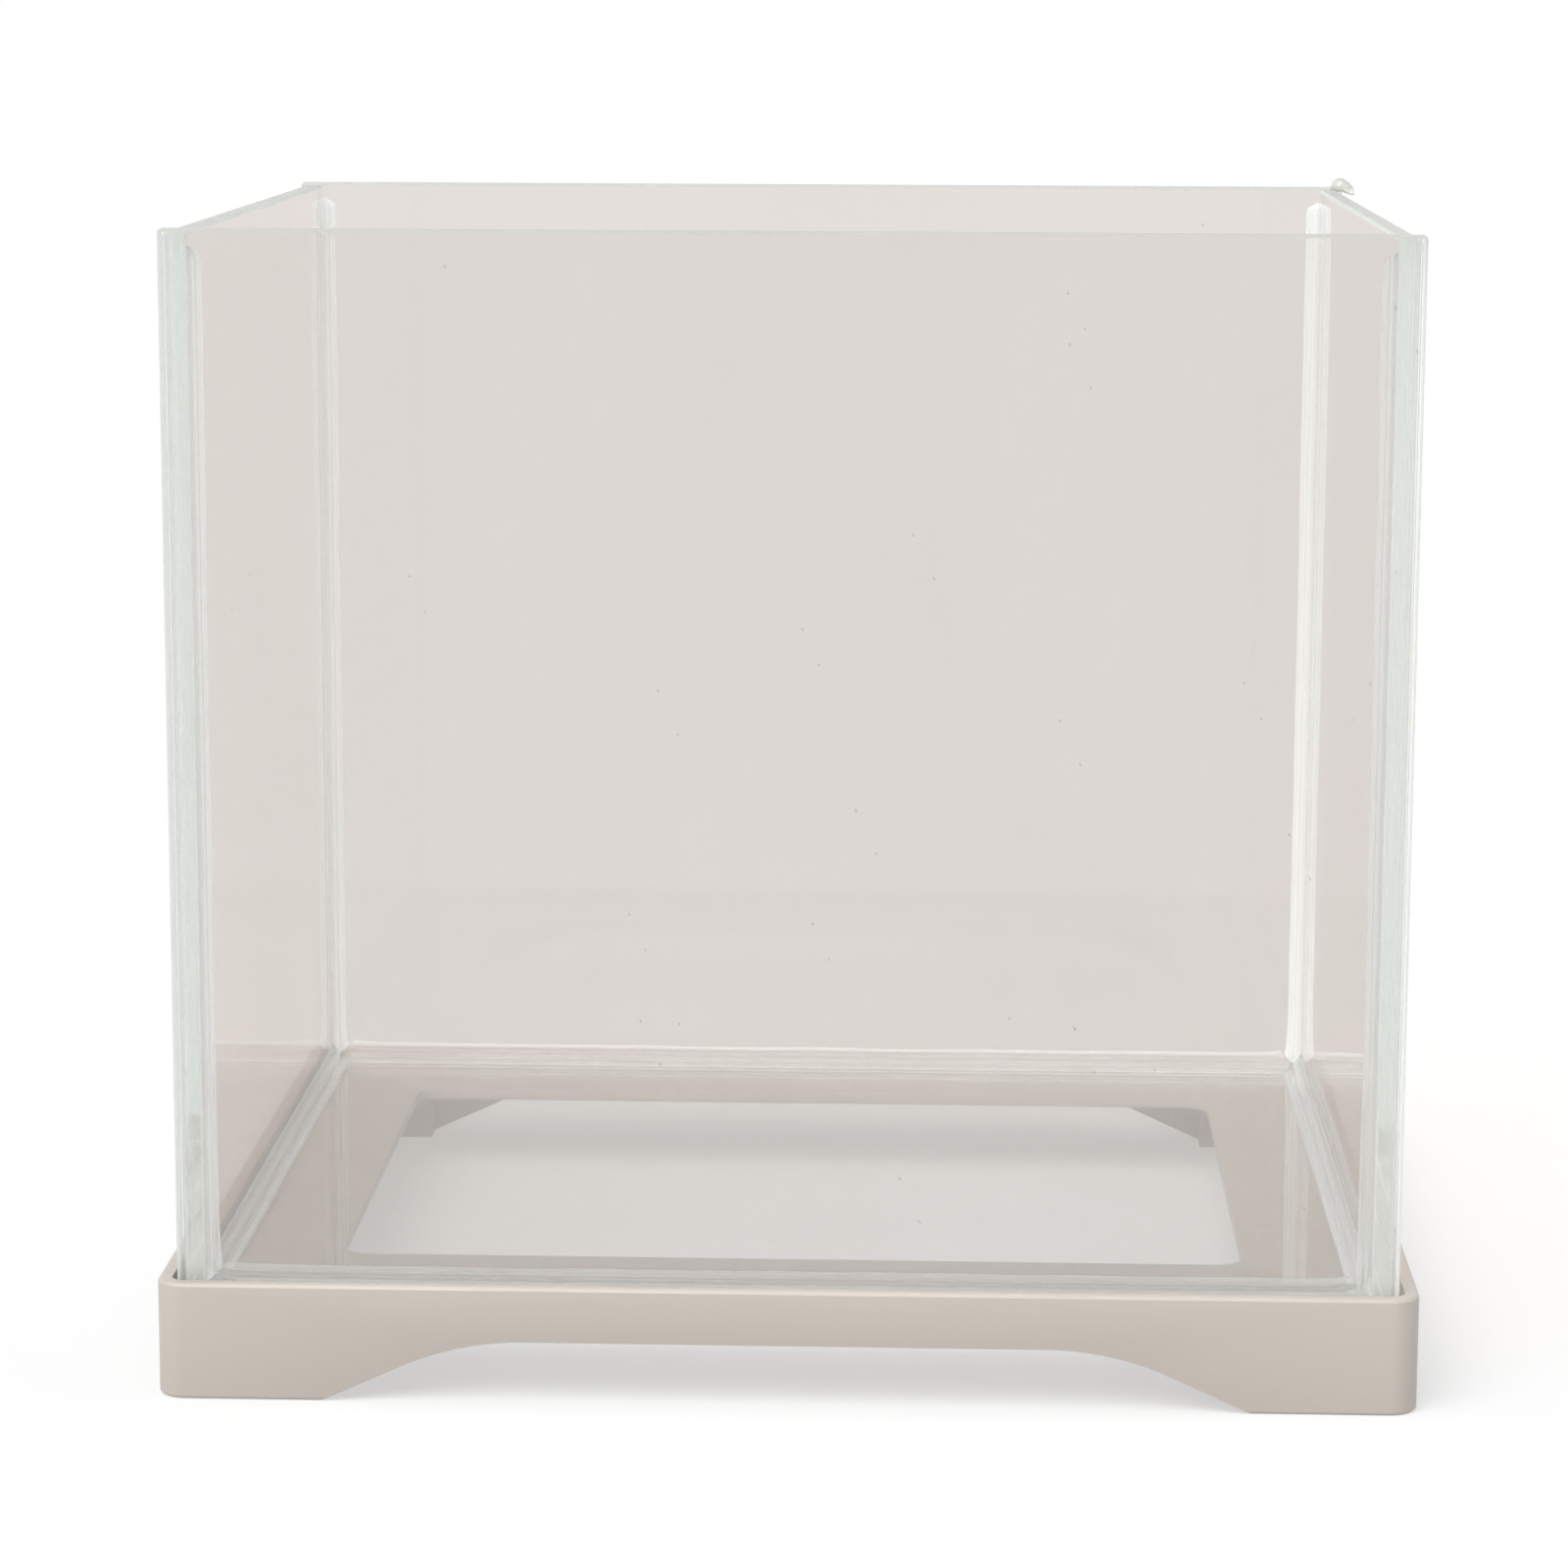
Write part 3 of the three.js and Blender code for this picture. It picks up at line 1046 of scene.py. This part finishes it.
# ---- base ----


def base_moulding(material):
    """The moulding, from a merged copy of its CAD solid, with every edge rounded as the tool
    leaves it."""
    settings = bpy.context.scene.tank_base
    bm = bmesh.new()
    bm.from_mesh(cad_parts["base_frame"].data)
    bmesh.ops.remove_doubles(bm, verts=bm.verts, dist=2 * TOUCH)
    join_flat_faces(bm, math.radians(1.0))
    sharp = [e for e in bm.edges if e.is_manifold and e.calc_face_angle(0.0) > math.radians(30)]
    bmesh.ops.bevel(
        bm,
        geom=sharp,
        offset=settings.edge_radius,
        segments=settings.edge_segments,
        profile=0.5,
        affect="EDGES",
        material=-1,
        clamp_overlap=True,
    )
    piece = finished(bm, "base_moulding", [material], math.radians(35))
    place_piece(piece, "base", "base_plastic", "base_frame")
    return piece


# ---- studio ----


def soft_room(settings):
    """An even white room. What it sheds on dull surfaces is set apart from how bright it looks."""
    world = bpy.data.worlds.new("soft_room")
    world.use_nodes = True
    tree = world.node_tree
    tree.nodes.clear()
    white = (1, 1, 1, 1)
    seen = add_node(
        tree, "ShaderNodeBackground", {"Color": white, "Strength": settings.backdrop_light}
    )
    lights = add_node(
        tree, "ShaderNodeBackground", {"Color": white, "Strength": settings.room_light}
    )
    path = add_node(tree, "ShaderNodeLightPath")
    mixed = add_node(
        tree,
        "ShaderNodeMixShader",
        {"Fac": path.outputs["Is Diffuse Ray"], 1: seen.outputs[0], 2: lights.outputs[0]},
    )
    output = add_node(tree, "ShaderNodeOutputWorld")
    tree.links.new(mixed.outputs[0], output.inputs["Surface"])
    return world


def key_lamp(settings):
    """One broad lamp, up on the left and in front."""
    key = bpy.data.lights.new("key_light", "SUN")
    key.energy = settings.key_strength
    key.angle = settings.key_spread
    lamp = bpy.data.objects.new("key_light", key)
    lamp.rotation_euler = Euler((settings.key_tilt, 0, settings.key_turn))
    return lamp


def standing_camera(settings):
    """The camera, which looks along +Y before it is turned."""
    camera = bpy.data.objects.new("camera", bpy.data.cameras.new("camera"))
    camera.data.lens = settings.lens
    camera.data.sensor_width = 36
    camera.data.clip_start = 0.01
    camera.data.clip_end = 200
    camera.data.dof.use_dof = False
    pitch, roll, yaw = settings.camera_turn
    turned = Matrix.Rotation(yaw, 4, "Z") @ Matrix.Rotation(pitch, 4, "X")
    turned = turned @ Matrix.Rotation(roll, 4, "Y") @ Matrix.Rotation(math.radians(90), 4, "X")
    camera.matrix_world = Matrix.Translation(settings.camera_place) @ turned
    return camera


# ---- operators ----


class TANK_OT_studio_stage(Operator):
    """Lay the opal floor, set the lights and stand the camera"""

    bl_idname = "tank.studio_stage"
    bl_label = "Studio stage"

    def execute(self, context):
        scene = context.scene
        settings = scene.tank_stage
        bm = bmesh.new()
        bmesh.ops.create_circle(bm, cap_ends=True, segments=96, radius=settings.floor_radius)
        floor = finished(bm, "opal_floor", [opal_floor()])
        scene.world = soft_room(settings)
        scene.collection.objects.link(key_lamp(settings))
        camera = standing_camera(settings)
        scene.collection.objects.link(camera)
        scene.camera = camera
        scene.view_settings.view_transform = "Standard"
        # a ray that crosses the tank goes through up to a dozen faces of glass and of sealant
        scene.cycles.max_bounces = 28
        scene.cycles.transmission_bounces = 28
        scene.cycles.glossy_bounces = 12
        scene.cycles.diffuse_bounces = 8
        scene.cycles.transparent_max_bounces = 40
        return {"FINISHED"}


class TANK_OT_glass_panes(Operator):
    """Make the five panes with ground edges"""

    bl_idname = "tank.glass_panes"
    bl_label = "Glass panes"

    def execute(self, context):
        settings = context.scene.tank_glass
        front = float_glass("float_glass_front", settings.front_tint)
        side = float_glass("float_glass_sides", settings.side_tint)
        rear = float_glass("float_glass_rear", settings.rear_tint)
        # the bottom pane's darker tint is partly painted shade on what is seen through it
        bottom = float_glass("float_glass_bottom_and_shade", settings.bottom_tint_and_shade)
        edges = [ground_glass_edge(), wetted_glass_edge(), frosted_arris()]
        faces = {"front_pane": front, "rear_pane": rear, "bottom_pane": bottom}
        for i, node in enumerate(PANES):
            ground_pane(node, 11 + 9 * i, [faces.get(node, side), *edges])
        return {"FINISHED"}


class TANK_OT_silicone_seams(Operator):
    """Make the bond films and the tooled seal beads"""

    bl_idname = "tank.silicone_seams"
    bl_label = "Silicone seams"

    def execute(self, context):
        film = clear_silicone("silicone_film", 0.18, 0.28)
        lump = silicone_lump()
        # the beads differ in how cloudy they cured, and the upright rear ones are the whitest
        rear_bead = clear_silicone("silicone_bead_rear", 0.42, 0.72)
        front_bead = clear_silicone("silicone_bead_front", 0.14, 0.42)
        floor_bead = clear_silicone("silicone_bead_floor", 0.16, 0.28)
        beads = {f"floor_{wall}": floor_bead for wall in ENDS + SIDES}
        beads |= {f"front_{side}": front_bead for side in SIDES}
        beads |= {f"rear_{side}": rear_bead for side in SIDES}
        joints = [f"{end}_{side}" for end in ENDS for side in SIDES]
        joints += [f"floor_{wall}" for wall in ENDS + SIDES]
        for i, joint in enumerate(joints):
            bond_film(f"bond_{joint}", 3 * i, [film, lump])
            seal_bead(f"bead_{joint}", 100 + 3 * i, beads[joint])
        return {"FINISHED"}


class TANK_OT_base_moulding(Operator):
    """Make the plastic base with rounded edges"""

    bl_idname = "tank.base_moulding"
    bl_label = "Base moulding"

    def execute(self, context):
        base_moulding(moulded_plastic())
        return {"FINISHED"}


OPERATORS = (TANK_OT_studio_stage, TANK_OT_glass_panes, TANK_OT_silicone_seams, TANK_OT_base_moulding)


class TANK_PT_sidebar(Panel):
    """Sizes, colours and makers of the tank's pieces"""

    bl_idname = "TANK_PT_sidebar"
    bl_label = "Glass tank"
    bl_space_type = "VIEW_3D"
    bl_region_type = "UI"
    bl_category = "Tank"

    def draw(self, context):
        for group in SETTINGS:
            box = self.layout.box()
            box.label(text=group.bl_rna.name)
            for name in group.__annotations__:
                box.prop(getattr(context.scene, SETTINGS[group]), name)
        for operator in OPERATORS:
            self.layout.operator(operator.bl_idname)


SETTINGS = {
    GlassSettings: "tank_glass",
    SiliconeSettings: "tank_silicone",
    BaseSettings: "tank_base",
    StageSettings: "tank_stage",
}


def register():
    for group, name in SETTINGS.items():
        bpy.utils.register_class(group)
        setattr(bpy.types.Scene, name, PointerProperty(type=group))
    for cls in (*OPERATORS, TANK_PT_sidebar):
        bpy.utils.register_class(cls)


def unregister():
    for cls in (TANK_PT_sidebar, *reversed(OPERATORS)):
        bpy.utils.unregister_class(cls)
    for group, name in SETTINGS.items():
        delattr(bpy.types.Scene, name)
        bpy.utils.unregister_class(group)


def main():
    register()
    bpy.ops.tank.studio_stage()
    bpy.ops.tank.glass_panes()
    bpy.ops.tank.silicone_seams()
    bpy.ops.tank.base_moulding()


if __name__ == "__main__":
    main()
